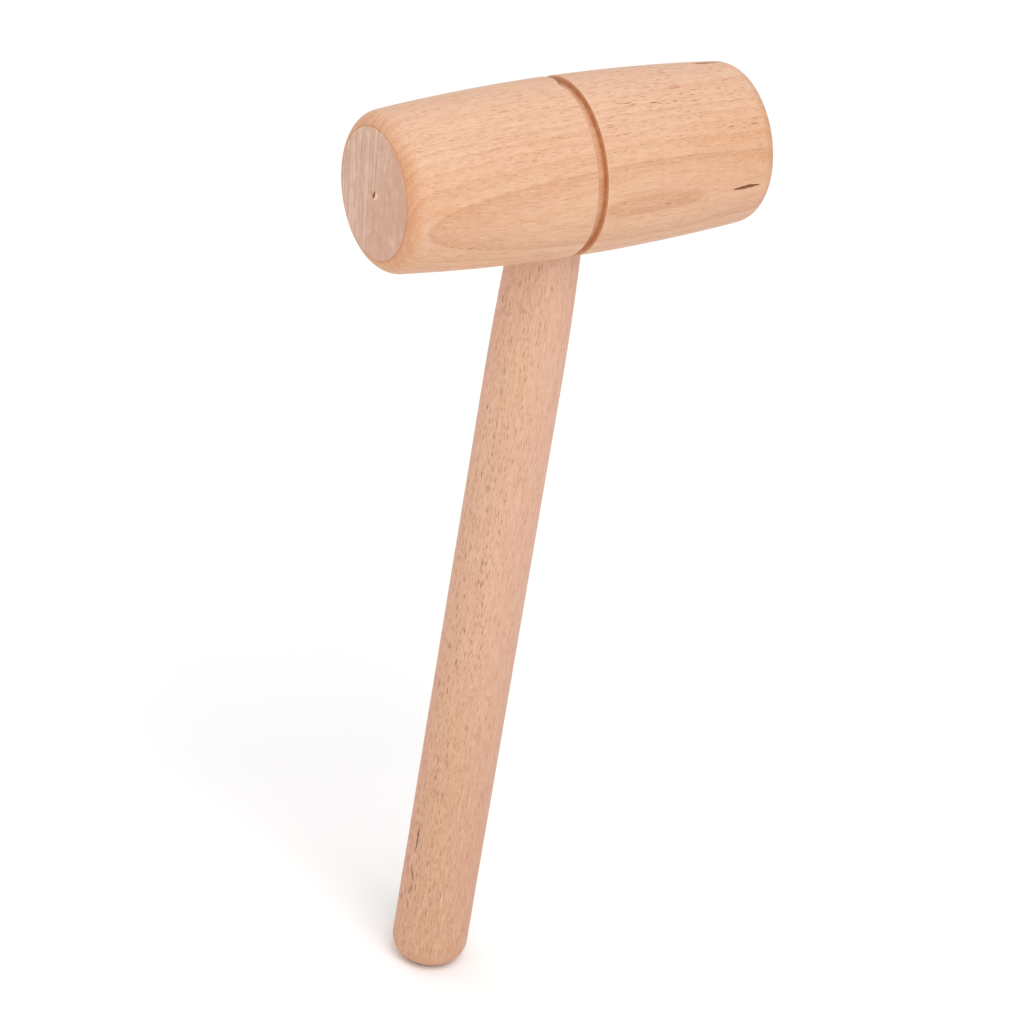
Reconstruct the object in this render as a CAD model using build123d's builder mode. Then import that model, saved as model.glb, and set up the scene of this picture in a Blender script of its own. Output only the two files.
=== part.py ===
"""A turned beech mallet: a barrel head with one groove round its middle, on a dowel handle.

The frame's origin is the centre of the handle's butt end. +Z runs up the handle to the head,
and +X along the head. Lengths are in millimetres and angles in degrees.
"""

import os

from build123d import *

# Head: a barrel turned about X, thickest at its middle. Its ends are rounded, then faced off.
head_length = 138.0
head_radius = 30.0  # at the middle
head_end_radius = 26.6  # where the barrel's curve would meet the ends, before they are faced
head_edge_rounding = 7.0
facing_cut = 0.23  # taken off each rounded end, which leaves a blunt arris round its flat
head_axis_height = 322.5  # above the butt end

# Groove round the middle of the head.
groove_width = 3.9  # at the surface
groove_depth = 2.4
groove_wall_angle = 77.0  # between a wall and the head's surface
groove_floor_rounding = 0.5
groove_lip_rounding = 0.25

# Cone that the lathe's centre leaves in the middle of each striking face.
centre_mark_radius = 1.4
centre_mark_depth = 1.3

# Blind socket for the handle, bored from below, across the head's grain.
socket_radius = 12.1
socket_floor_height = head_axis_height + 10.0

# Handle: a straight dowel that necks down to its tenon along one long arc.
handle_radius = 13.2
neck_start_height = head_axis_height - 82.0
neck_arc_radius = 1215.0
butt_rounding = 7.9

# Tenon: the end of the handle that is glued into the socket.
glue_thickness = 0.15
tenon_radius = socket_radius - glue_thickness
tenon_end_height = socket_floor_height - 0.5
tenon_chamfer = 1.5

# Saw cut across the tenon, and the fox wedge that the socket's floor drives into it.
saw_cut_depth = 28.0
wedge_length = 20.0
wedge_thick_end = 3.6
wedge_tip = 1.0
wedge_width = 22.0

# Glue: a sleeve in the gap round the tenon, kept above the groove so that none of it shows.
glue_start_height = head_axis_height - 24.0
glue_end_height = tenon_end_height - tenon_chamfer

# Worked out: the head's length before its ends are faced.
turned_length = head_length + 2 * facing_cut

# Worked out: the neck leaves the dowel on a tangent and stops at the tenon's radius.
neck_drop = handle_radius - tenon_radius
neck_length = (neck_drop * (2 * neck_arc_radius - neck_drop)) ** 0.5
tenon_start_height = neck_start_height + neck_length

# Worked out: the wedge seen along Y, with its tip down.
wedge_tip_height = socket_floor_height - wedge_length
wedge_corners = [
    (-wedge_thick_end / 2, socket_floor_height),
    (-wedge_tip / 2, wedge_tip_height),
    (wedge_tip / 2, wedge_tip_height),
    (wedge_thick_end / 2, socket_floor_height),
]

# Profiles are drawn in planes that hold X and Z: one at the head's axis, one at the butt.
head_plane = Plane(origin=(0, 0, head_axis_height), x_dir=(1, 0, 0), z_dir=(0, -1, 0))
head_axis = Axis((0, 0, head_axis_height), (1, 0, 0))
socket_mouth = Plane(origin=(0, 0, head_axis_height - head_radius), z_dir=(0, 0, -1))


# Head: half of the barrel's lengthwise section, turned about the head's axis.
with BuildPart() as head:
    with BuildSketch(head_plane) as head_section:
        with BuildLine():
            barrel = ThreePointArc(
                (-turned_length / 2, head_end_radius),
                (0, head_radius),
                (turned_length / 2, head_end_radius),
            )
            Polyline(
                barrel @ 1,
                (turned_length / 2, 0),
                (-turned_length / 2, 0),
                barrel @ 0,
            )
        make_face()
        end_edges = head_section.vertices().group_by(Axis.Y)[-1]
        fillet(end_edges, head_edge_rounding)
        Polygon(
            (-head_length / 2, 2 * head_radius),
            (head_length / 2, 2 * head_radius),
            (head_length / 2, centre_mark_radius),
            (head_length / 2 - centre_mark_depth, 0),
            (centre_mark_depth - head_length / 2, 0),
            (-head_length / 2, centre_mark_radius),
            align=None,
            mode=Mode.INTERSECT,
        )
        with Locations((0, head_radius)):
            Trapezoid(
                groove_width,
                groove_depth,
                groove_wall_angle,
                rotation=180,
                align=(Align.CENTER, Align.MIN),
                mode=Mode.SUBTRACT,
            )
        groove_edges = head_section.vertices().filter_by_position(
            Axis.X, -groove_width, groove_width
        )
        groove_floor, groove_lips = groove_edges.group_by(Axis.Y)[-2:]
        fillet(groove_floor, groove_floor_rounding)
        fillet(groove_lips, groove_lip_rounding)
    revolve(axis=head_axis)
    with Locations(socket_mouth):
        Hole(socket_radius, depth=socket_floor_height - socket_mouth.origin.Z)
head.part.label = "head"


# Handle: half of its lengthwise section turned about Z, then sawn for the wedge.
with BuildPart() as handle:
    with BuildSketch(Plane.XZ) as handle_section:
        with BuildLine():
            shaft = Polyline(
                (0, 0),
                (handle_radius, 0),
                (handle_radius, neck_start_height),
            )
            neck = TangentArc(
                shaft @ 1,
                (tenon_radius, tenon_start_height),
                tangent=(0, 1),
            )
            Polyline(
                neck @ 1,
                (tenon_radius, tenon_end_height),
                (0, tenon_end_height),
                shaft @ 0,
            )
        make_face()
        outer_corners = handle_section.vertices().filter_by_position(
            Axis.X, tenon_radius, handle_radius
        )
        fillet(outer_corners.sort_by(Axis.Y)[0], butt_rounding)
        chamfer(outer_corners.sort_by(Axis.Y)[-1], tenon_chamfer)
    revolve(axis=Axis.Z)

    with BuildSketch(Plane.XZ) as saw_cut:
        Polygon(*wedge_corners, align=None)
        with Locations((0, wedge_tip_height)):
            Rectangle(
                wedge_tip,
                saw_cut_depth - wedge_length,
                align=(Align.CENTER, Align.MAX),
            )
    extrude(amount=handle_radius, both=True, mode=Mode.SUBTRACT)
handle.part.label = "handle"


# Fox wedge: it fills the saw cut, with its thick end on the socket's floor.
with BuildPart() as fox_wedge:
    with BuildSketch(Plane.XZ) as wedge_section:
        Polygon(*wedge_corners, align=None)
    extrude(amount=wedge_width / 2, both=True)
fox_wedge.part.label = "fox_wedge"


# Glue line: the sleeve of dried glue between the tenon and the socket's wall.
with BuildPart() as glue_line:
    with BuildSketch(Plane.XY.offset(glue_start_height)) as glue_ring:
        Circle(socket_radius)
        Circle(tenon_radius, mode=Mode.SUBTRACT)
    extrude(amount=glue_end_height - glue_start_height)
glue_line.part.label = "glue_line"


os.makedirs("parts", exist_ok=True)
export_step(head.part, "parts/head.step")
export_step(handle.part, "parts/handle.step")
export_step(fox_wedge.part, "parts/fox_wedge.step")
export_step(glue_line.part, "parts/glue_line.step")
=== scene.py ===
"""Looks of the turned beech mallet.

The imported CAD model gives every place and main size. Here the head and the handle are made
again as fine meshes, with the marks that turning, sawing and drying leave in real beech, and
every piece gets a wood or glue material built from nodes. Lengths are in metres, apart from
those inside the materials, which are in millimetres.
"""

from math import acos, asin, atan2, cos, pi, radians, sin, sqrt

import bmesh
import bpy
import numpy as np
from mathutils import Matrix, Vector


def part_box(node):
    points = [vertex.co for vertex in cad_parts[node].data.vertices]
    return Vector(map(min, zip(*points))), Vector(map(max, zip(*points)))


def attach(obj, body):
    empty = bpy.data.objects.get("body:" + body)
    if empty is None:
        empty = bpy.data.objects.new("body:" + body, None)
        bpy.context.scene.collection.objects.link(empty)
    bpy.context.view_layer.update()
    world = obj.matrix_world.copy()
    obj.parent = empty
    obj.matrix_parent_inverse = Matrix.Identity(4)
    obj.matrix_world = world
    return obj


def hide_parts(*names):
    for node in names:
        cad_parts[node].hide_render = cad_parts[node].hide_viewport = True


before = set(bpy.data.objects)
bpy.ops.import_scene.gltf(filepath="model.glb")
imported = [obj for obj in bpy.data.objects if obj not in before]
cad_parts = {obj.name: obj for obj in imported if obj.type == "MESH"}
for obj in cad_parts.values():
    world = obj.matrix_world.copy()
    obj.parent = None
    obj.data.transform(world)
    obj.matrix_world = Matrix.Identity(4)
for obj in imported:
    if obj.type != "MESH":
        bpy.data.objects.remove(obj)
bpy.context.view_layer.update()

MM = 0.001

# Sizes read from the frame.
head_low, head_high = (Vector(corner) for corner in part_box("head"))
_, handle_high = (Vector(corner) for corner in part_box("handle"))
wedge_low, wedge_high = (Vector(corner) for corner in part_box("fox_wedge"))
_, glue_high = (Vector(corner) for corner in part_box("glue_line"))
head_length = head_high.x - head_low.x
head_radius = (head_high.y - head_low.y) / 2
head_height = head_high.z - head_radius  # of the head's axis
handle_radius = handle_high.x
socket_radius = glue_high.x
socket_floor = wedge_high.z
tenon_end = handle_high.z

# Sizes of the turned profiles, as in the CAD model.
barrel_drop = 3.4 * MM  # how far the barrel's curve falls from its middle to an end as turned
edge_rounding = 7.0 * MM
facing_cut = 0.23 * MM  # taken off each rounded end, which leaves an arris round its flat
notch_depth = 0.2 * MM  # of the fine notch between the sawn flat and the rounding
notch_width = 0.45 * MM
notch_floor = 0.14 * MM  # from the flat's rim out to the notch's deepest line
groove_width = 3.9 * MM
groove_depth = 2.4 * MM
groove_wall_turn = radians(77)
groove_floor_rounding = 0.5 * MM
groove_lip_rounding = 0.25 * MM
centre_mark_radius = 1.4 * MM
centre_mark_depth = 1.3 * MM
butt_rounding = 7.9 * MM
neck_start = head_height - 82.0 * MM
neck_arc_radius = 1215.0 * MM
glue_thickness = 0.15 * MM
tenon_radius = socket_radius - glue_thickness
tenon_chamfer = 1.5 * MM
saw_cut_depth = 28.0 * MM
wedge_tip = 1.0 * MM

# Mesh spacing along the profiles. It is fine near the groove, the centre marks and the checks.
centre_step = 0.2 * MM
centre_reach = 2.6 * MM
flat_step = 1.4 * MM
groove_step = 0.35 * MM
barrel_step_low = 0.22 * MM
barrel_step_high = 0.9 * MM
barrel_step_share = 0.2  # of the way left to the groove
checked_step = 0.5 * MM
checked_length = 18.0 * MM  # from each end, where the drying checks lie
handle_step = 0.9 * MM
butt_step = 0.6 * MM
tenon_step = 4.0 * MM
tenon_end_step = 1.5 * MM
tenon_chamfer_step = 0.8 * MM
lip_parts, rounding_parts, butt_parts = 4, 14, 16  # steps round an arc

# Mesh spacing round the parts. It is fine near the checks and near the dents.
head_columns, head_fine_reach, head_fine_step = 288, radians(3.0), radians(0.3)
handle_columns, handle_fine_reach, handle_fine_step = 150, radians(9), radians(0.7)
handle_fine_turn = radians(-172)
socket_sides = 192
sharp_angle = radians(32)  # between two faces, from which their edge shows as a crease


# ---------------------------------------------------------------- profiles of the turned parts


def spaced(start, end, step):
    """Points from start towards end, about a step apart, without the end itself."""
    start, end = np.array(start), np.array(end)
    count = max(1, round(np.linalg.norm(end - start) / step))
    return [tuple(start + (end - start) * i / count) for i in range(count)]


def arc(centre, radius, first_turn, last_turn, count):
    """Points along an arc, both ends included. Turns are in radians."""
    turns = np.linspace(first_turn, last_turn, count + 1)
    return [(centre[0] + radius * cos(t), centre[1] + radius * sin(t)) for t in turns]


def rounded(before, corner, after, radius, count):
    """The arc that rounds a corner between two straight lines."""
    before, corner, after = (Vector(point) for point in (before, corner, after))
    to_before = (before - corner).normalized()
    to_after = (after - corner).normalized()
    half_angle = to_before.angle(to_after) / 2
    middle = (to_before + to_after).normalized()
    centre = corner + middle * (radius / sin(half_angle))
    reach = radius / np.tan(half_angle)
    first = corner + to_before * reach - centre
    last = corner + to_after * reach - centre
    first_turn = atan2(first.y, first.x)
    sweep = (atan2(last.y, last.x) - first_turn + pi) % (2 * pi) - pi
    return arc(centre, radius, first_turn, first_turn + sweep, count)


turned_half = head_length / 2 + facing_cut
barrel_arc_radius = (turned_half**2 + barrel_drop**2) / (2 * barrel_drop)


def barrel_radius(x):
    """Radius of the head's curve, x from the middle of the head."""
    return head_radius - barrel_arc_radius + np.sqrt(barrel_arc_radius**2 - x**2)


def head_profile():
    """Half of the head's lengthwise section, from pole to pole, as (x, radius) points."""
    face = -head_length / 2
    centre_x = edge_rounding - turned_half
    arris_turn = pi - acos(1 - facing_cut / edge_rounding)
    offset_arc = barrel_arc_radius - edge_rounding
    centre_r = head_radius - barrel_arc_radius + sqrt(offset_arc**2 - centre_x**2)
    tangent_turn = pi / 2 + asin(-centre_x / offset_arc)

    lip = -groove_width / 2
    floor_r = head_radius - groove_depth
    floor_x = lip + groove_depth / np.tan(groove_wall_turn)
    lip_point = (lip, head_radius)
    floor_point = (floor_x, floor_r)
    lip_arc = rounded((face, head_radius), lip_point, floor_point, groove_lip_rounding, lip_parts)
    middle_point = (0, floor_r)
    floor_arc = rounded(lip_point, floor_point, middle_point, groove_floor_rounding, lip_parts)

    flat_r = centre_r + edge_rounding * sin(arris_turn)
    rounding_turn = asin((flat_r + notch_width - centre_r) / edge_rounding)
    centre = (centre_x, centre_r)
    first_turn = pi - rounding_turn
    points = spaced((face, 0), (face, centre_reach), centre_step)
    points += spaced((face, centre_reach), (face, flat_r), flat_step)
    points += [(face, flat_r), (face + notch_depth, flat_r + notch_floor)]
    points += arc(centre, edge_rounding, first_turn, tangent_turn, rounding_parts)
    barrel_xs = [points[-1][0]]
    while barrel_xs[-1] < lip_arc[0][0]:
        gap = lip_arc[0][0] - barrel_xs[-1]
        near_checks = barrel_xs[-1] < checked_length - turned_half
        widest = checked_step if near_checks else barrel_step_high
        step = min(widest, max(barrel_step_low, barrel_step_share * gap))
        barrel_xs.append(barrel_xs[-1] + step)
    points += [(x, barrel_radius(x)) for x in barrel_xs[1:-1]]
    points += lip_arc
    points += spaced(lip_arc[-1], floor_arc[0], groove_step)[1:]
    points += floor_arc
    points += spaced(floor_arc[-1], middle_point, groove_step)[1:]
    right_half = [(-x, r) for x, r in reversed(points)]
    return np.array(points + [middle_point] + right_half)


def handle_profile():
    """Half of the handle's lengthwise section, from the butt up, as (z, radius) points."""
    butt_flat = handle_radius - butt_rounding
    neck_drop = handle_radius - tenon_radius
    neck_length = sqrt(neck_drop * (2 * neck_arc_radius - neck_drop))
    neck_end = neck_start + neck_length

    points = spaced((0, 0), (0, butt_flat), butt_step)
    points += arc((butt_rounding, butt_flat), butt_rounding, pi, pi / 2, butt_parts)
    butt_end = (butt_rounding, handle_radius)
    points += spaced(butt_end, (neck_start, handle_radius), handle_step)[1:]
    for z, _ in spaced((neck_start, 0), (neck_end, 0), handle_step):
        rise = z - neck_start
        drop = neck_arc_radius - sqrt(neck_arc_radius**2 - rise**2)
        points.append((z, handle_radius - drop))
    chamfer_start = (tenon_end - tenon_chamfer, tenon_radius)
    chamfer_end = (tenon_end, tenon_radius - tenon_chamfer)
    points += spaced((neck_end, tenon_radius), chamfer_start, tenon_step)
    points += spaced(chamfer_start, chamfer_end, tenon_chamfer_step)
    points += spaced(chamfer_end, (tenon_end, 0), tenon_end_step)
    return np.array(points + [(tenon_end, 0)])


# ------------------------------------------------------------------------------- mesh helpers


def smoothstep(low, high, value):
    """0 below low, 1 above high and a smooth rise between. Low may be above high."""
    t = np.clip((value - low) / (high - low), 0, 1)
    return t * t * (3 - 2 * t)


def turns_with_detail(count, places, reach, step):
    """Angles round a turned part, evenly spaced, with finer ones near the given places."""
    even = np.arange(count) * 2 * pi / count
    for place in places:
        fine = np.arange(place - reach, place + reach + step / 2, step)
        apart = np.abs((even - place + pi) % (2 * pi) - pi)
        even = np.concatenate([even[apart > reach + step / 2], fine % (2 * pi)])
    return np.sort(even)


def turned_mesh(name, along, turn, radius, place):
    """A closed mesh from grids of along, turn and radius: one row for each profile point.

    The first and last rows are the poles. place(along, turn, radius) gives x, y and z.
    """
    rows, columns = radius.shape
    x, y, z = place(along, turn, radius)
    grid = np.stack([x, y, z], -1)
    inner = grid[1:-1].reshape(-1, 3)
    poles = grid[[0, -1], 0]
    vertices = np.concatenate([inner, poles])
    first_pole, last_pole = len(inner), len(inner) + 1

    faces = []
    for row in range(rows - 3):
        for column in range(columns):
            after = (column + 1) % columns
            low, high = row * columns, (row + 1) * columns
            faces.append((low + column, low + after, high + after, high + column))
    last_row = (rows - 3) * columns
    for column in range(columns):
        after = (column + 1) % columns
        faces.append((first_pole, after, column))
        faces.append((last_pole, last_row + column, last_row + after))

    mesh = bpy.data.meshes.new(name)
    mesh.from_pydata(vertices.tolist(), [], faces)
    mesh.update()
    return mesh


def give_values(mesh, name, values):
    """Stores one number for each vertex, in the order of turned_mesh: rows, then the poles."""
    attribute = mesh.attributes.new(name, "FLOAT", "POINT")
    values = np.concatenate([values[1:-1].reshape(-1), values[[0, -1], 0]])
    attribute.data.foreach_set("value", values.astype(float))


def prism(name, outline, low, high, place):
    """A closed solid that keeps its outline from low to high. place gives x, y and z."""
    count = len(outline)
    vertices = [place(a, b, c) for c in (low, high) for a, b in outline]
    faces = [tuple(range(count)), tuple(range(count, 2 * count))]
    for i in range(count):
        j = (i + 1) % count
        faces.append((i, j, j + count, i + count))
    solid = bmesh.new()
    corners = [solid.verts.new(vertex) for vertex in vertices]
    for face in faces:
        solid.faces.new([corners[i] for i in face])
    bmesh.ops.recalc_face_normals(solid, faces=solid.faces)
    mesh = bpy.data.meshes.new(name)
    solid.to_mesh(mesh)
    solid.free()
    return mesh


def cut_away(mesh, cutter_mesh):
    """The mesh with the cutter's solid taken out of it."""
    piece = bpy.data.objects.new("cut_piece", mesh)
    cutter = bpy.data.objects.new("cutter", cutter_mesh)
    for made in (piece, cutter):
        bpy.context.collection.objects.link(made)
    cut = piece.modifiers.new("cut", "BOOLEAN")
    cut.operation = "DIFFERENCE"
    cut.solver = "EXACT"
    cut.object = cutter
    seen = piece.evaluated_get(bpy.context.evaluated_depsgraph_get())
    result = bpy.data.meshes.new_from_object(seen)
    for made in (piece, cutter):
        bpy.data.objects.remove(made)
    bpy.data.meshes.remove(cutter_mesh)
    return result


def finished_piece(name, mesh, material, node):
    """The piece that shows in place of a CAD node."""
    mesh.name = name
    mesh.materials.clear()
    mesh.materials.append(material)
    mesh.shade_smooth()
    mesh.set_sharp_from_angle(angle=sharp_angle)
    piece = bpy.data.objects.new(name, mesh)
    bpy.context.collection.objects.link(piece)
    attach(piece, "root")
    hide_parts(node)
    return piece


# ------------------------------------------------------------------------- marks in the wood
# A turn round the head is counted from the front, the -Y side, up over the top. A turn round
# the handle is counted from +X towards +Y. A lean is the sideways shift for each step along.

drying_checks = [
    {
        "from": 51.2 * MM, "to": 61.9 * MM, "turn": radians(-1.0),
        "width": 1.35 * MM, "depth": 0.9 * MM,
    },
    {
        "from": 51.4 * MM, "to": 62.2 * MM, "turn": radians(109),
        "width": 2.2 * MM, "depth": 1.5 * MM,
    },
]

handle_dents = [
    {"from": 47.2 * MM, "to": 59.8 * MM, "turn": radians(-171.3), "width": 0.85 * MM, "lean": 0.0},
    {"from": 35.7 * MM, "to": 42.1 * MM, "turn": radians(-171.2), "width": 0.7 * MM, "lean": -0.48},
    {"from": 29.9 * MM, "to": 34.5 * MM, "turn": radians(-168.3), "width": 0.5 * MM, "lean": 0.17},
]
handle_dent_depth = 0.4 * MM

lip_chip = {"x": -2.2 * MM, "turn": radians(96), "length": 0.9 * MM, "height": 3.6 * MM}
lip_chip_depth = 1.0 * MM

head_wave_height = 0.012 * MM
handle_wave_height = 0.01 * MM


def lens(along, across, mark):
    """How deep a long narrow mark is, from 0 at its rim to 1 along its middle."""
    middle = (mark["from"] + mark["to"]) / 2
    half_length = (mark["to"] - mark["from"]) / 2
    t = np.clip((along - middle) / half_length, -1, 1)
    wander = 0.05 * mark["width"] * (np.sin(5 * t + 1) + np.sin(11 * t))
    half_width = mark["width"] / 2 * (1 - t**2) ** 1.1 + 1e-9
    across = across - wander - mark.get("lean", 0) * (along - middle)
    return np.clip(1 - (across / half_width) ** 2, 0, 1) ** 0.6


def nearest_turn(turn, place):
    """The angle from a place to each turn, between minus and plus half a turn."""
    return (turn - place + pi) % (2 * pi) - pi


# -------------------------------------------------------------------------------------- head


def head_waves(x, turn):
    """How deep the gouge and the sandpaper went, in wave heights. It is never below 0."""
    wave = np.sin(x / (4.3 * MM) + 2 * np.cos(turn)) + np.sin(x / (7.9 * MM) - 3 * turn)
    wave += 0.8 * np.sin(5 * turn + x / (19 * MM))
    return 2.8 + wave


def chipped(x, turn, radius):
    """How much of the groove's lip is broken away, from 0 to 1."""
    along = (x - lip_chip["x"]) / lip_chip["length"]
    aside = radius * nearest_turn(turn, lip_chip["turn"]) / lip_chip["height"]
    ragged = 0.25 * np.sin(turn * 160) + 0.2 * np.sin(x / (0.21 * MM))
    torn = smoothstep(1.0, 0.2, along**2 + aside**2 + 0.6 * ragged)
    return torn * (np.abs(x) > groove_width / 2 - groove_lip_rounding)


def centre_tear(turn, radius):
    """The dimple that the lathe's centre tears in a striking face, and the wood beside it.

    The dimple is 1 at its deepest. The wood is 1 where it is frayed and -1 where it is bruised.
    """
    up = radius * np.sin(turn) + 0.5 * MM
    across = -radius * np.cos(turn) + 0.35 * MM * np.sin(up / (0.8 * MM))
    ring = np.sqrt((across / 0.62) ** 2 + (up / 1.15) ** 2) / centre_mark_radius
    ring = ring * (1 + 0.16 * np.sin(2 * turn + 0.7) + 0.1 * np.sin(7 * turn))
    pale_side = ((across + 1.45 * MM) / (0.95 * MM)) ** 2 + ((up - 0.2 * MM) / (1.4 * MM)) ** 2
    bruised_side = ((across - 1.5 * MM) / (0.9 * MM)) ** 2 + (up / (1.2 * MM)) ** 2
    frayed = np.exp(-(pale_side**2)) - np.exp(-(bruised_side**2))
    return np.clip(1 - ring, 0, 1), frayed


def groove_scorch_and_light(x, radius):
    """Where the groove's walls are scorched and its floor has painted shade towards the walls, and
    where its lips have a painted highlight, both from 0 to 1.
    """
    wall_low = groove_width / 2 - groove_depth / np.tan(groove_wall_turn)
    wall = smoothstep(wall_low - 0.25 * MM, wall_low, np.abs(x))
    wall = wall * (np.abs(x) < groove_width / 2 + 0.02 * MM)
    # Painted shade: the floor darkens from its middle towards the walls.
    floor = smoothstep(0.1 * MM, 1.1 * MM, np.abs(x)) * (np.abs(x) < groove_width / 2) * 0.75
    below = barrel_radius(x) - radius
    scorch_and_corner_shade = np.maximum(wall, floor) * smoothstep(0.1 * MM, 0.6 * MM, below)
    # A painted highlight along each lip.
    from_lip = np.abs(np.abs(x) - groove_width / 2 - 0.05 * MM) / (0.3 * MM)
    return scorch_and_corner_shade, np.clip(1 - from_lip, 0, 1)


def socket_drill():
    """The solid that bores the socket, from clear below the head up to the socket's floor."""
    turns = np.arange(socket_sides) * 2 * pi / socket_sides
    rim = [(cos(turn) * socket_radius, sin(turn) * socket_radius) for turn in turns]
    start = head_low.z - 5 * MM
    return prism("drill", rim, start, socket_floor, lambda x, y, z: (x, y, z))


def make_head(material):
    """The head as one closed mesh, with every mark that turning, sawing and drying left."""
    profile = head_profile()
    flat_radius = profile[profile[:, 0] <= profile[0, 0], 1].max()
    places = [check["turn"] for check in drying_checks]
    turns = turns_with_detail(head_columns, places, head_fine_reach, head_fine_step)
    x, turn = np.meshgrid(profile[:, 0], turns, indexing="ij")
    radius = np.repeat(profile[:, 1:], len(turns), axis=1)
    to_face = head_length / 2 - np.abs(x)
    on_face = to_face < 1e-6
    on_side = smoothstep(0.3, 1.0, to_face / edge_rounding)
    radius = radius - on_side * head_wave_height * head_waves(x, turn)

    opened = np.zeros_like(radius)
    for check in drying_checks:
        deep = lens(x, radius * nearest_turn(turn, check["turn"]), check) * check["depth"]
        opened = np.maximum(opened, deep)
    radius = radius - opened
    torn = chipped(x, turn, radius)
    radius = radius - lip_chip_depth * torn
    dimple, frayed = (np.where(on_face, part, 0) for part in centre_tear(turn, radius))
    x = x - np.sign(x) * centre_mark_depth * dimple

    def place(x, turn, radius):
        return x, -radius * np.cos(turn), head_height + radius * np.sin(turn)

    mesh = turned_mesh("head", x, turn, radius, place)
    mesh.flip_normals()
    scorch_and_corner_shade, lip_highlight = groove_scorch_and_light(x, radius)
    notched = (radius > flat_radius + 0.01 * MM) & (to_face < notch_depth * 1.2)
    give_values(mesh, "scorch_and_corner_shade", scorch_and_corner_shade)
    give_values(mesh, "lip_highlight", lip_highlight)
    give_values(mesh, "opened", opened / MM)
    give_values(mesh, "torn", torn)
    give_values(mesh, "sawn", on_face)
    give_values(mesh, "notched", notched)
    give_values(mesh, "dimple", dimple)
    give_values(mesh, "frayed", frayed)
    mesh = cut_away(mesh, socket_drill())
    return finished_piece("beech_head", mesh, material, "head")


# ------------------------------------------------------------------------------------ handle


def saw_blade():
    """The solid that saws the tenon. The wedge fills it down to the wedge's own tip."""
    wedge_half = (wedge_high.x - wedge_low.x) / 2
    above = 1 * MM  # clear of the tenon's end
    slope = (wedge_half - wedge_tip / 2) / (wedge_high.z - wedge_low.z)
    top_half = wedge_half + slope * above
    cut_end = wedge_high.z - saw_cut_depth
    outline = [
        (-top_half, wedge_high.z + above),
        (-wedge_tip / 2, wedge_low.z),
        (-wedge_tip / 2, cut_end),
        (wedge_tip / 2, cut_end),
        (wedge_tip / 2, wedge_low.z),
        (top_half, wedge_high.z + above),
    ]
    return prism("saw_cut", outline, -handle_radius, handle_radius, lambda x, z, y: (x, y, z))


def handle_waves(z, turn):
    """How deep the sandpaper went, in wave heights. It is never below 0."""
    return 2 + np.sin(z / (5.1 * MM) + 2 * np.cos(turn)) + np.sin(z / (13 * MM) + 2 * turn)


def make_handle(material):
    """The handle as one closed mesh, with its dents and the saw cut in its tenon."""
    profile = handle_profile()
    turns = turns_with_detail(
        handle_columns, [handle_fine_turn], handle_fine_reach, handle_fine_step
    )
    z, turn = np.meshgrid(profile[:, 0], turns, indexing="ij")
    radius = np.repeat(profile[:, 1:], len(turns), axis=1)
    sanded = smoothstep(butt_rounding * 0.6, butt_rounding, z) * (z < neck_start + 30 * MM)
    radius = radius - sanded * handle_wave_height * handle_waves(z, turn)

    opened = np.zeros_like(radius)
    for dent in handle_dents:
        opened = np.maximum(opened, lens(z, radius * nearest_turn(turn, dent["turn"]), dent))
    radius = radius - handle_dent_depth * opened

    def place(z, turn, radius):
        return radius * np.cos(turn), radius * np.sin(turn), z

    mesh = turned_mesh("handle", z, turn, radius, place)
    give_values(mesh, "opened", opened)
    mesh = cut_away(mesh, saw_blade())
    return finished_piece("beech_handle", mesh, material, "handle")


# ------------------------------------------------------------------------------ shader helpers


class Field:
    """A number that varies over a surface. It is the output of a shader node."""

    def __init__(self, tree, socket):
        self.tree = tree
        self.socket = socket

    def math(self, operation, *others):
        """The result of a Math node that gets this field first."""
        node = add_node(self.tree, "ShaderNodeMath", operation=operation)
        for socket, value in zip(node.inputs, (self, *others)):
            feed(self.tree, socket, value)
        return Field(self.tree, node.outputs[0])

    def __add__(self, other):
        return self.math("ADD", other)

    def __sub__(self, other):
        return self.math("SUBTRACT", other)

    def __mul__(self, other):
        return self.math("MULTIPLY", other)

    def __pow__(self, other):
        return self.math("POWER", other)

    def __neg__(self):
        return self.math("MULTIPLY", -1)

    def step(self, low, high):
        """0 below low, 1 above high and a smooth rise between. Low may be above high."""
        node = add_node(self.tree, "ShaderNodeMapRange", interpolation_type="SMOOTHSTEP")
        feed(self.tree, node.inputs["Value"], self)
        if low < high:
            feed(self.tree, node.inputs["From Min"], low)
            feed(self.tree, node.inputs["From Max"], high)
            return Field(self.tree, node.outputs["Result"])
        feed(self.tree, node.inputs["From Min"], high)
        feed(self.tree, node.inputs["From Max"], low)
        feed(self.tree, node.inputs["To Min"], 1)
        feed(self.tree, node.inputs["To Max"], 0)
        return Field(self.tree, node.outputs["Result"])


def add_node(tree, kind, **settings):
    """A new node with the given settings."""
    node = tree.nodes.new(kind)
    for name, value in settings.items():
        setattr(node, name, value)
    return node


def feed(tree, socket, value):
    """Gives a node's input a field, a colour's socket, or a constant."""
    if isinstance(value, Field):
        tree.links.new(value.socket, socket)
    elif isinstance(value, bpy.types.NodeSocket):
        tree.links.new(value, socket)
    else:
        socket.default_value = value


def stored(tree, name):
    """The numbers that the mesh keeps under this name."""
    node = add_node(tree, "ShaderNodeAttribute", attribute_name=name)
    return Field(tree, node.outputs["Fac"])


def tinted(tree, colour, tint, amount):
    """The colour, turned towards a tint by a field from 0 to 1."""
    node = add_node(tree, "ShaderNodeMix", data_type="RGBA")
    feed(tree, node.inputs["Factor"], amount)
    feed(tree, node.inputs[6], (*colour, 1) if isinstance(colour, tuple) else colour)
    feed(tree, node.inputs[7], (*tint, 1) if isinstance(tint, tuple) else tint)
    return node.outputs[2]


def painted(tree, colour, coats):
    """The colour under coats laid one on another. Each is a tint and its amount, 0 to 1."""
    for tint, amount in coats:
        colour = tinted(tree, colour, tint, amount)
    return colour


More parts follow.
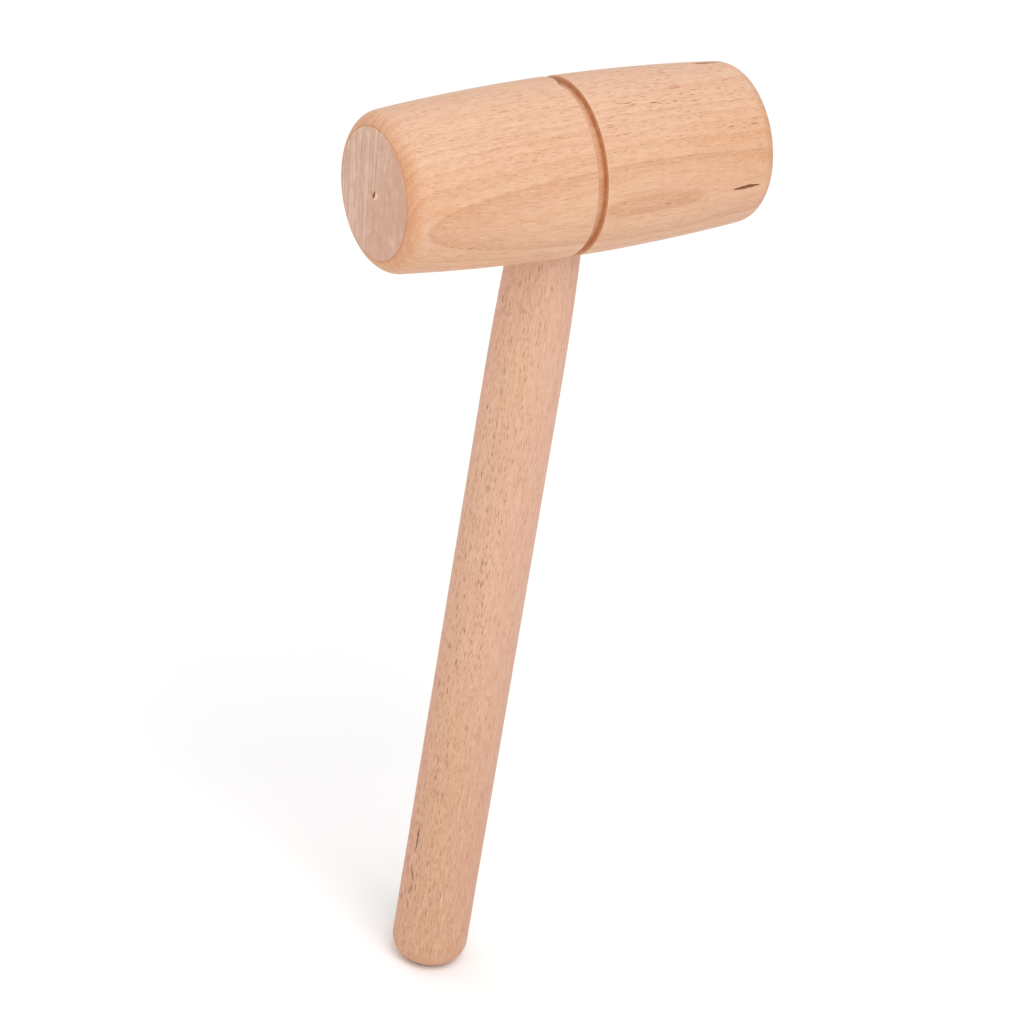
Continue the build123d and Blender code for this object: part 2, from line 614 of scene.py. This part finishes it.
class Log:
    """Where each point of a piece lay in its log, in millimetres.

    along runs with the grain, forward to the heart and side across both. reach is the distance
    from the heart that the rings follow, and place is along, outwards and round. The heart leans
    from the grain, and each bend is where along it starts and ends, and how far it goes. curl
    and flat are how much the rings of the outer wood lean and flatten.
    """

    def __init__(
        self, tree, grain, to_heart, middle, heart_distance, lean=0, bends=(), curl=0, flat=0
    ):
        self.tree = tree
        self.heart_distance = heart_distance
        place = add_node(tree, "ShaderNodeTexCoord").outputs["Object"]
        grain, to_heart = Vector(grain), Vector(to_heart)
        sideways = grain.cross(to_heart)

        def measured(direction):
            node = add_node(tree, "ShaderNodeVectorMath", operation="DOT_PRODUCT")
            feed(tree, node.inputs[0], place)
            feed(tree, node.inputs[1], direction / MM)
            return Field(tree, node.outputs["Value"]) - direction.dot(middle) / MM

        self.along = measured(grain)
        self.forward = measured(to_heart)
        self.side = measured(sideways)
        behind = (-self.forward) + heart_distance + self.along * (-lean)
        for start, end, rise in bends:
            behind = behind + self.along.step(start, end) * rise
        wander = self.straight_noise((55, 30, 30), 1.5, 3)
        behind = behind + wander * 0.15
        outwards = (behind * behind + self.side * self.side) ** 0.5
        around = self.side.math("ARCTAN2", behind) * heart_distance
        self.place = (self.along, outwards, around)

        # The outer wood grew less evenly: its rings lean and are flatter.
        outer_wood = self.forward.step(12, -6)
        behind = behind + outer_wood * self.side * curl
        aside = self.side * (outer_wood * (-flat) + 1)
        self.reach = (behind * behind + aside * aside) ** 0.5

    def vector(self, place, sizes, shift):
        """The place as a texture takes it, with each part counted in steps of its size."""
        node = add_node(self.tree, "ShaderNodeCombineXYZ")
        for socket, part, size in zip(node.inputs, place, sizes):
            feed(self.tree, socket, part.math("MULTIPLY_ADD", 1 / size, shift))
        return node.outputs[0]

    def noise_at(self, place, sizes, detail, shift):
        """Smooth noise from about -1 to 1.

        Sizes are of its marks along each part of the place, in mm. Detail is how many finer
        layers it has, and each shift gives another pattern.
        """
        node = add_node(self.tree, "ShaderNodeTexNoise", noise_dimensions="3D")
        feed(self.tree, node.inputs["Vector"], self.vector(place, sizes, shift))
        feed(self.tree, node.inputs["Scale"], 1)
        feed(self.tree, node.inputs["Detail"], detail)
        feed(self.tree, node.inputs["Roughness"], 0.55)
        return Field(self.tree, node.outputs[0]) * 2 - 1

    def noise(self, sizes, detail, shift):
        """Noise that follows the rings, with sizes along, outwards and round them."""
        return self.noise_at(self.place, sizes, detail, shift)

    def straight_noise(self, sizes, detail, shift):
        """Noise that ignores the rings, with sizes along, forward and to the side."""
        return self.noise_at((self.along, self.forward, self.side), sizes, detail, shift)

    def spindles(self, sizes, thick, shift, faint=1.3):
        """Slim bodies that stand in the wood, 1 inside and 0 outside.

        Sizes are of the cell round each, in mm, and thick is how much of it a body fills. The
        higher faint is, the more of the bodies are faint.
        """
        node = add_node(self.tree, "ShaderNodeTexVoronoi", voronoi_dimensions="3D")
        feed(self.tree, node.inputs["Vector"], self.vector(self.place, sizes, shift))
        feed(self.tree, node.inputs["Scale"], 1)
        chance = add_node(self.tree, "ShaderNodeSeparateColor")
        feed(self.tree, chance.inputs[0], node.outputs["Color"])
        first = Field(self.tree, chance.outputs[0])
        second = Field(self.tree, chance.outputs[1])
        distance = Field(self.tree, node.outputs["Distance"])
        edge = distance * (1 / thick) + first * 0.5
        return edge.step(1.0, 0.55) * second**faint

    def rings(self, ring_width, growth, shift, fade, seed=0):
        """Darkness across each year's ring: it deepens outwards and ends sharply.

        The ring through the middle of the piece has the given width, in mm, and those further
        out are narrower, the more so the higher the growth. Shift moves them all outwards or
        inwards by part of a ring. Fade is how dark the faintest are, and seed draws which.
        """
        distance = self.heart_distance
        count = distance / (growth + 1) / ring_width
        wavy = self.noise((60, 9, 14), 2, 7) * 0.03
        wavy = wavy + self.noise((7, 0.8, 0.8), 2, 9) * 0.03
        years = (self.reach * (1 / distance)) ** (growth + 1) * count + wavy + shift
        year = years.math("FLOOR") + seed
        through = years.math("FRACT")
        dice = add_node(self.tree, "ShaderNodeTexWhiteNoise", noise_dimensions="1D")
        feed(self.tree, dice.inputs["W"], year)
        strength = Field(self.tree, dice.outputs["Value"]) * (1 - fade) + fade
        return through**2 * through.step(1.0, 0.95) * strength


# ---------------------------------------------------------------------------------- materials

# Colours, as linear red, green and blue.
LIGHT_BEECH = (0.711, 0.430, 0.265)
PINK_BEECH = (0.692, 0.393, 0.253)
WARM_BEECH = (0.673, 0.363, 0.193)
SHEEN_ROSE = (0.735, 0.480, 0.347)
ROSE_BEECH = (0.660, 0.385, 0.265)
PALE_BEECH = (0.776, 0.511, 0.347)
DARK_BEECH = (0.552, 0.265, 0.130)
RAY_DARK = (0.225, 0.062, 0.020)
RAY_BROWN = (0.365, 0.128, 0.044)
RING_BEECH = (0.575, 0.290, 0.158)
END_DARK = (0.520, 0.215, 0.085)
END_ORANGE = (0.640, 0.300, 0.135)
SAWN_BEECH = (0.656, 0.421, 0.310)
SAWN_PINK = (0.595, 0.335, 0.237)
SAWN_DARK = (0.474, 0.275, 0.180)
SAWN_PALE = (0.824, 0.597, 0.464)
SCORCHED = (0.530, 0.204, 0.078)
CHECK_BROWN = (0.345, 0.140, 0.058)
SCORCHED_DARK = (0.300, 0.120, 0.048)
CHECK_SHADE = (0.170, 0.060, 0.028)
FRAYED_WOOD = (0.820, 0.570, 0.430)
HANDLE_LIGHT = (0.695, 0.420, 0.275)
HANDLE_PINK = (0.676, 0.387, 0.270)
HANDLE_PALE = (0.756, 0.497, 0.367)
HANDLE_DARK = (0.539, 0.272, 0.154)
HANDLE_TAN = (0.655, 0.390, 0.235)
HANDLE_RED = (0.640, 0.330, 0.205)
DENT_BROWN = (0.180, 0.085, 0.058)
GLUE_AMBER = (0.74, 0.60, 0.36)
GLUE_CLOUD = (0.84, 0.75, 0.55)
FLOOR_DARK = (0.95, 0.95, 0.95)
FLOOR_LIGHT = (0.965, 0.965, 0.965)

beech_ior = 1.45


def principled(name):
    """A new material with its tree and its surface shader."""
    material = bpy.data.materials.new(name)
    material.use_nodes = True
    tree = material.node_tree
    return material, tree, tree.nodes["Principled BSDF"]


def raise_surface(tree, shader, height_mm):
    """Bump from a height in millimetres."""
    bump = add_node(tree, "ShaderNodeBump")
    feed(tree, bump.inputs["Strength"], 1)
    feed(tree, bump.inputs["Distance"], MM)
    feed(tree, bump.inputs["Height"], height_mm)
    feed(tree, shader.inputs["Normal"], bump.outputs[0])


def facing(tree, direction):
    """How squarely the surface faces a direction or its opposite, from 0 to 1."""
    normal = add_node(tree, "ShaderNodeTexCoord").outputs["Normal"]
    node = add_node(tree, "ShaderNodeVectorMath", operation="DOT_PRODUCT")
    feed(tree, node.inputs[0], normal)
    feed(tree, node.inputs[1], Vector(direction))
    return Field(tree, node.outputs["Value"]).math("ABSOLUTE")


def sawn_face(tree, log, ring, pores):
    """The sawn end of the head, with fine lines where the saw has not smeared the wood.

    Gives its colour, and its height in millimetres.
    """
    plain = log.straight_noise((30, 9, 12), 2, 47)
    smeared = (plain * 3 + log.forward * 0.35).step(-1.5, 2.5)
    clean = smeared * (-0.75) + 1
    lines = ring.step(0.05, 0.45) * clean
    late_wood = log.noise_at((log.along, log.reach, log.side), (20, 0.5, 14), 2, 91)
    saw_marks = log.straight_noise((9, 0.75, 16), 2, 71)
    cross_marks = log.straight_noise((9, 14, 0.7), 2, 73)
    blotch = log.straight_noise((9, 3, 4), 2, 83)
    rays = log.noise((30, 5, 0.45), 1, 53)
    coats = [
        (SAWN_PINK, smeared * 0.8),
        (SAWN_DARK, lines * 0.6),
        (SAWN_DARK, late_wood.step(0.05, 0.5) * clean * 0.7),
        (SAWN_PALE, late_wood.step(-0.05, -0.5) * clean * 0.7),
        (SAWN_DARK, cross_marks.step(0.1, 0.6) * 0.3),
        (SAWN_DARK, blotch.step(0.0, 0.6) * 0.55),
        (SAWN_PALE, blotch.step(0.0, -0.6) * 0.45),
        (SAWN_DARK, saw_marks.step(-0.1, -0.6) * clean * 0.5),
        (SAWN_PALE, saw_marks.step(0.1, 0.6) * clean * 0.6),
        (SAWN_PALE, rays.step(0.0, 0.6) * 0.12),
        (SAWN_DARK, pores * 0.25),
    ]
    height = saw_marks * 0.06 + rays * 0.03 + pores * (-0.03) + lines * (-0.04)
    return painted(tree, SAWN_BEECH, coats), height


def head_marks(tree, log, scorch_and_corner_shade):
    scorch = log.straight_noise((0.35, 6, 6), 3, 61)
    scorch_streak = log.straight_noise((3, 1.3, 1.3), 2, 67)
    low_or_high = log.side.math("ABSOLUTE").step(16, 29)
    opened, frayed = stored(tree, "opened"), stored(tree, "frayed")
    return [
        # The scorched walls of the groove, and painted shade on its floor towards them.
        (SCORCHED, scorch_and_corner_shade * (scorch * 0.6 + scorch_streak * 0.9 + 0.75)),
        (SCORCHED_DARK, scorch_and_corner_shade * (low_or_high * 0.2 + scorch * 0.35)),
        # A painted highlight along the groove's lips.
        (PALE_BEECH, stored(tree, "lip_highlight") * 0.5),
        # Darkens the fine notch round the sawn flat with the colour of the groove's walls.
        (SCORCHED, stored(tree, "notched") * (scorch * 0.5 + 0.5)),
        (PALE_BEECH, stored(tree, "torn").step(0.1, 0.8) * 0.7),
        (CHECK_BROWN, opened.step(0.01, 0.15) * 0.9),
        # Painted shade, deeper in the checks.
        (CHECK_SHADE, opened.step(0.3, 0.9) * 0.6),
        (SCORCHED, frayed.step(-0.2, -0.8) * 0.35),
        (FRAYED_WOOD, frayed.step(0.2, 0.6)),
        (CHECK_BROWN, stored(tree, "dimple").step(0.02, 0.3)),
    ]


def head_beech():
    """Steamed beech, flat-sawn at the front of the head, with the grain along X."""
    material, tree, shader = principled("head_beech")
    grain, to_heart, middle = (1, 0, 0), (0, -1, 0), Vector((0, 0, head_height))
    bends = [(-52, -68, 0.35), (8, -6, 0.3), (36, 50, 0.3)]
    log = Log(
        tree, grain, to_heart, middle, heart_distance=90, lean=0.027, bends=bends, curl=0.2,
        flat=0.5,
    )
    ring = log.rings(ring_width=2.31, growth=2.158, shift=0.528, fade=0.2, seed=200)
    broad = log.noise((45, 7, 9), 2, 11)
    band = log.noise((34, 2.4, 3.2), 2, 15)
    layer = log.noise((26, 0.75, 9), 2, 27)
    fine_layer = log.noise((18, 0.4, 7), 2, 33)
    streak = log.noise((9, 0.9, 1.0), 3, 23)
    fibre = log.noise((4.2, 0.5, 0.5), 2, 31)
    rows = log.noise((38, 2.2, 2.4), 2, 19).step(-0.35, 0.35) * 0.6 + 0.4
    rows = rows * (log.along.step(-20, 15) * 0.35 + 0.65)
    fleck = log.spindles((5.0, 0.62, 0.56), 0.46, 5, faint=0.9) * rows
    fine_fleck = log.spindles((3.6, 0.5, 0.44), 0.42, 17)
    pores = log.noise((1.4, 0.18, 0.18), 1, 41).step(0.2, 0.6)

    low_right = log.along.step(-5, 45) * log.side.step(-2, 14)
    warm_right = log.along.step(20, 55) * log.side.step(3, -8) * log.side.step(-27, -18)
    # The top of the head, which gets a painted sheen in a paler rose.
    top = log.side.step(-15, -29)
    plainly_cut = log.forward.step(8, 25) * 0.45 + 0.5
    inner_oval = log.along.step(0, 8) * log.forward.step(26, 28)
    oblique = facing(tree, (0, 1, 0)).step(0.95, 0.7) * 0.75 + 0.25
    cross_cut = facing(tree, (1, 0, 0)).step(0.15, 0.9)
    side_cut = cross_cut * (-0.7) + 1
    sawn, scorch_and_corner_shade = stored(tree, "sawn"), stored(tree, "scorch_and_corner_shade")
    sawn_colour, sawn_height = sawn_face(tree, log, ring, pores)
    coats = [
        (PINK_BEECH, broad.step(-0.4, 0.4)),
        (WARM_BEECH, band.step(-0.1, 0.5) * 0.8),
        (ROSE_BEECH, low_right * 0.25),
        (WARM_BEECH, warm_right * 0.5),
        (END_ORANGE, cross_cut * 0.7),
        # Painted sheen: the top of the head paler.
        (SHEEN_ROSE, top * 0.5),
        (RING_BEECH, ring * plainly_cut * (inner_oval * (-0.2) + 1)),
        (END_DARK, ring * cross_cut * 0.7),
        (DARK_BEECH, layer.step(0.05, 0.6) * 0.3),
        (END_DARK, layer.step(0.0, 0.5) * cross_cut * 0.55),
        (END_DARK, fine_layer.step(0.0, 0.5) * cross_cut * 0.4),
        (DARK_BEECH, streak.step(0.0, 0.7) * 0.45),
        (PALE_BEECH, streak.step(-0.05, -0.6) * 0.55),
        (DARK_BEECH, fibre.step(0.05, 0.6) * 0.7),
        (PALE_BEECH, fibre.step(-0.05, -0.6) * 0.65),
        (RAY_BROWN, fleck * oblique * side_cut),
        (RAY_BROWN, fine_fleck * (ring * 0.5 + 0.6) * side_cut),
        (RAY_BROWN, pores * 0.1),
        (sawn_colour, sawn),
    ]
    coats += head_marks(tree, log, scorch_and_corner_shade)
    feed(tree, shader.inputs["Base Color"], painted(tree, LIGHT_BEECH, coats))

    rough = broad * 0.04 + fibre * 0.05 + 0.52 + sawn * 0.2 + fleck * (-0.06)
    feed(tree, shader.inputs["Roughness"], rough + scorch_and_corner_shade * (-0.14))
    feed(tree, shader.inputs["IOR"], beech_ior)
    smooth_height = fibre * 0.02 + pores * (-0.02) + fleck * (-0.04) + streak * 0.01
    raise_surface(tree, shader, smooth_height + sawn * sawn_height)
    return material


def handle_beech():
    """Pinker beech with many short dark rays, with the grain along Z."""
    material, tree, shader = principled("handle_beech")
    turn = radians(-138)
    grain, to_heart, middle = (0, 0, 1), (cos(turn), sin(turn), 0), Vector((0, 0, 0))
    log = Log(tree, grain, to_heart, middle, heart_distance=70, lean=0.012)
    ring = log.rings(ring_width=2.6, growth=0.8, shift=0.4, fade=0.4)
    broad = log.noise((60, 8, 9), 2, 13)
    streak = log.noise((12, 1.1, 1.1), 3, 29)
    fibre = log.noise((4.5, 0.5, 0.5), 2, 37)
    many = log.side.step(10, 0) * 0.6 + 0.4
    rows = log.noise((30, 1.6, 1.8), 2, 19).step(-0.4, 0.3) * 0.6 + 0.4
    fleck = log.spindles((4.2, 0.56, 0.54), 0.47, 8, faint=0.35) * many * rows
    fine_fleck = log.spindles((3.2, 0.46, 0.42), 0.44, 19, faint=1.0) * many
    pores = log.noise((1.4, 0.18, 0.18), 1, 43).step(0.2, 0.6)

    toward_butt = log.along.step(210, 0)
    inner_strip = log.side.step(9, 1) * log.side.step(-12, -4)
    cross_cut = facing(tree, (0, 0, 1)).step(0.15, 0.9)
    opened = stored(tree, "opened")
    coats = [
        (HANDLE_PINK, broad.step(-0.4, 0.4)),
        (HANDLE_TAN, inner_strip * (toward_butt * 0.35 + 0.4)),
        (HANDLE_RED, log.side.step(-4, -13) * 0.7),
        (HANDLE_PINK, log.side.step(3, 13) * 0.8),
        # Painted shade: the handle darker towards the butt.
        (HANDLE_DARK, toward_butt * 0.55),
        (HANDLE_DARK, ring * 0.15),
        (HANDLE_DARK, streak.step(0.0, 0.7) * 0.6),
        (HANDLE_PALE, streak.step(0.0, -0.7) * 0.6),
        (HANDLE_DARK, fibre.step(0.05, 0.6) * 0.75),
        (HANDLE_PALE, fibre.step(-0.05, -0.6) * 0.75),
        (RAY_DARK, fleck),
        (RAY_BROWN, fine_fleck * 0.85),
        (RAY_BROWN, pores * 0.1),
        (END_ORANGE, cross_cut * 0.45),
        (DENT_BROWN, opened.step(0.0, 0.6) * 0.85),
    ]
    feed(tree, shader.inputs["Base Color"], painted(tree, HANDLE_LIGHT, coats))

    feed(tree, shader.inputs["Roughness"], broad * 0.04 + fibre * 0.05 + 0.55)
    feed(tree, shader.inputs["IOR"], beech_ior)
    height = fibre * 0.02 + pores * (-0.02) + fleck * (-0.035) + streak * 0.01
    raise_surface(tree, shader, height)
    return material


def wedge_beech():
    """Plain split beech for the fox wedge, with the grain along Z."""
    material, tree, shader = principled("wedge_beech")
    log = Log(tree, (0, 0, 1), (0, 1, 0), Vector((0, 0, 0)), heart_distance=60)
    ring = log.rings(ring_width=2.0, growth=0.8, shift=0, fade=0.4)
    fibre = log.noise((3, 0.25, 0.25), 2, 9)
    fleck = log.spindles((3.4, 6, 0.7), 0.4, 4)
    coats = [
        (HANDLE_DARK, ring * 0.7),
        (HANDLE_DARK, fibre.step(0.0, 0.7) * 0.4),
        (RAY_BROWN, fleck * 0.5),
    ]
    feed(tree, shader.inputs["Base Color"], painted(tree, HANDLE_LIGHT, coats))
    feed(tree, shader.inputs["Roughness"], fibre * 0.06 + 0.65)
    raise_surface(tree, shader, fibre * 0.015 + fleck * (-0.01))
    return material


def dried_glue():
    """Dried wood glue: amber, cloudy in places and a little wrinkled."""
    material, tree, shader = principled("dried_glue")
    log = Log(tree, (0, 0, 1), (0, 1, 0), Vector((0, 0, 0)), heart_distance=60)
    cloud = log.noise((3, 3, 3), 3, 2)
    wrinkle = log.noise((0.8, 1.5, 1.5), 2, 6)
    colour = tinted(tree, GLUE_AMBER, GLUE_CLOUD, cloud.step(-0.4, 0.5))
    feed(tree, shader.inputs["Base Color"], colour)
    feed(tree, shader.inputs["Roughness"], wrinkle * 0.08 + 0.4)
    raise_surface(tree, shader, wrinkle * 0.02)
    return material


# -------------------------------------------------------------------------------- the studio

# Light: a white room, a large soft key lamp in front above, and weak lamps left and behind.
world_strength = 0.74
soft_lights = [
    ("key", (-0.2, -1.4, 2.3), 1.6, 34),
    ("fill", (-2.2, -0.9, 0.9), 2.0, 6),
    ("back", (-0.8, 1.7, 1.9), 1.8, 8),
]
lit_height = 0.6 * head_height  # of the point that the lamps face

floor_half = 9.0  # of its width

# The camera stands before the left end of the head, above it, and is rolled a little. The point
# that it looks at is this far to the right of the head's middle and above it, as it sees them.
camera_azimuth, camera_elevation, camera_roll = (
    radians(angle) for angle in (-33.567, 32.198, 9.546)
)
aim_aside, aim_above = -15.23 * MM, -113.672 * MM
camera_distance = 2.3
sensor_width, focal_length = 36, 245.863  # in millimetres
clip_start, clip_end = 0.05, 50


def floor_material():
    """Even, dull white paint, very slightly cloudy."""
    material, tree, shader = principled("studio_floor")
    place = add_node(tree, "ShaderNodeTexCoord").outputs["Object"]
    noise = add_node(tree, "ShaderNodeTexNoise")
    feed(tree, noise.inputs["Vector"], place)
    feed(tree, noise.inputs["Scale"], 3)
    shade = Field(tree, noise.outputs[0]).step(0.2, 0.8)
    feed(tree, shader.inputs["Base Color"], tinted(tree, FLOOR_DARK, FLOOR_LIGHT, shade))
    feed(tree, shader.inputs["Roughness"], 0.9)
    feed(tree, shader.inputs["Specular IOR Level"], 0)
    return material


def make_floor():
    """A wide plain floor at the height of the butt end."""
    mesh = bpy.data.meshes.new("floor")
    signs = [(-1, -1), (1, -1), (1, 1), (-1, 1)]
    corners = [(floor_half * x, floor_half * y, 0) for x, y in signs]
    mesh.from_pydata(corners, [], [(0, 1, 2, 3)])
    mesh.materials.append(floor_material())
    floor = bpy.data.objects.new("floor", mesh)
    bpy.context.collection.objects.link(floor)


def make_lights():
    """A white room and square lamps that face the mallet."""
    world = bpy.data.worlds.new("studio")
    world.use_nodes = True
    background = world.node_tree.nodes["Background"]
    background.inputs["Color"].default_value = (1, 1, 1, 1)
    background.inputs["Strength"].default_value = world_strength
    bpy.context.scene.world = world

    target = Vector((0, 0, lit_height))
    for name, offset, size, power in soft_lights:
        light = bpy.data.lights.new(name, "AREA")
        light.shape = "SQUARE"
        light.size = size
        light.energy = power
        lamp = bpy.data.objects.new(name, light)
        lamp.location = target + Vector(offset)
        lamp.rotation_euler = Vector(offset).to_track_quat("Z", "Y").to_euler()
        bpy.context.collection.objects.link(lamp)


def make_camera():
    """The camera, from the angles at which it sees the mallet."""
    azimuth, elevation, roll = camera_azimuth, camera_elevation, camera_roll
    back = Vector((sin(azimuth) * cos(elevation), -cos(azimuth) * cos(elevation), sin(elevation)))
    level_right = Vector((0, 0, 1)).cross(back).normalized()
    level_up = back.cross(level_right)
    right = level_right * cos(roll) + level_up * sin(roll)
    up = level_up * cos(roll) - level_right * sin(roll)
    aim = Vector((0, 0, head_height)) + right * aim_aside + up * aim_above

    optics = bpy.data.cameras.new("camera")
    optics.sensor_width, optics.lens = sensor_width, focal_length
    optics.clip_start, optics.clip_end = clip_start, clip_end
    camera = bpy.data.objects.new("camera", optics)
    turned = Matrix((right, up, back)).transposed().to_4x4()
    camera.matrix_world = Matrix.Translation(aim + back * camera_distance) @ turned
    bpy.context.collection.objects.link(camera)
    bpy.context.scene.camera = camera


bpy.context.scene.view_settings.view_transform = "Standard"
make_camera()
make_lights()
make_floor()
make_head(head_beech())
make_handle(handle_beech())
for node, material in (("fox_wedge", wedge_beech()), ("glue_line", dried_glue())):
    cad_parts[node].material_slots[0].material = material
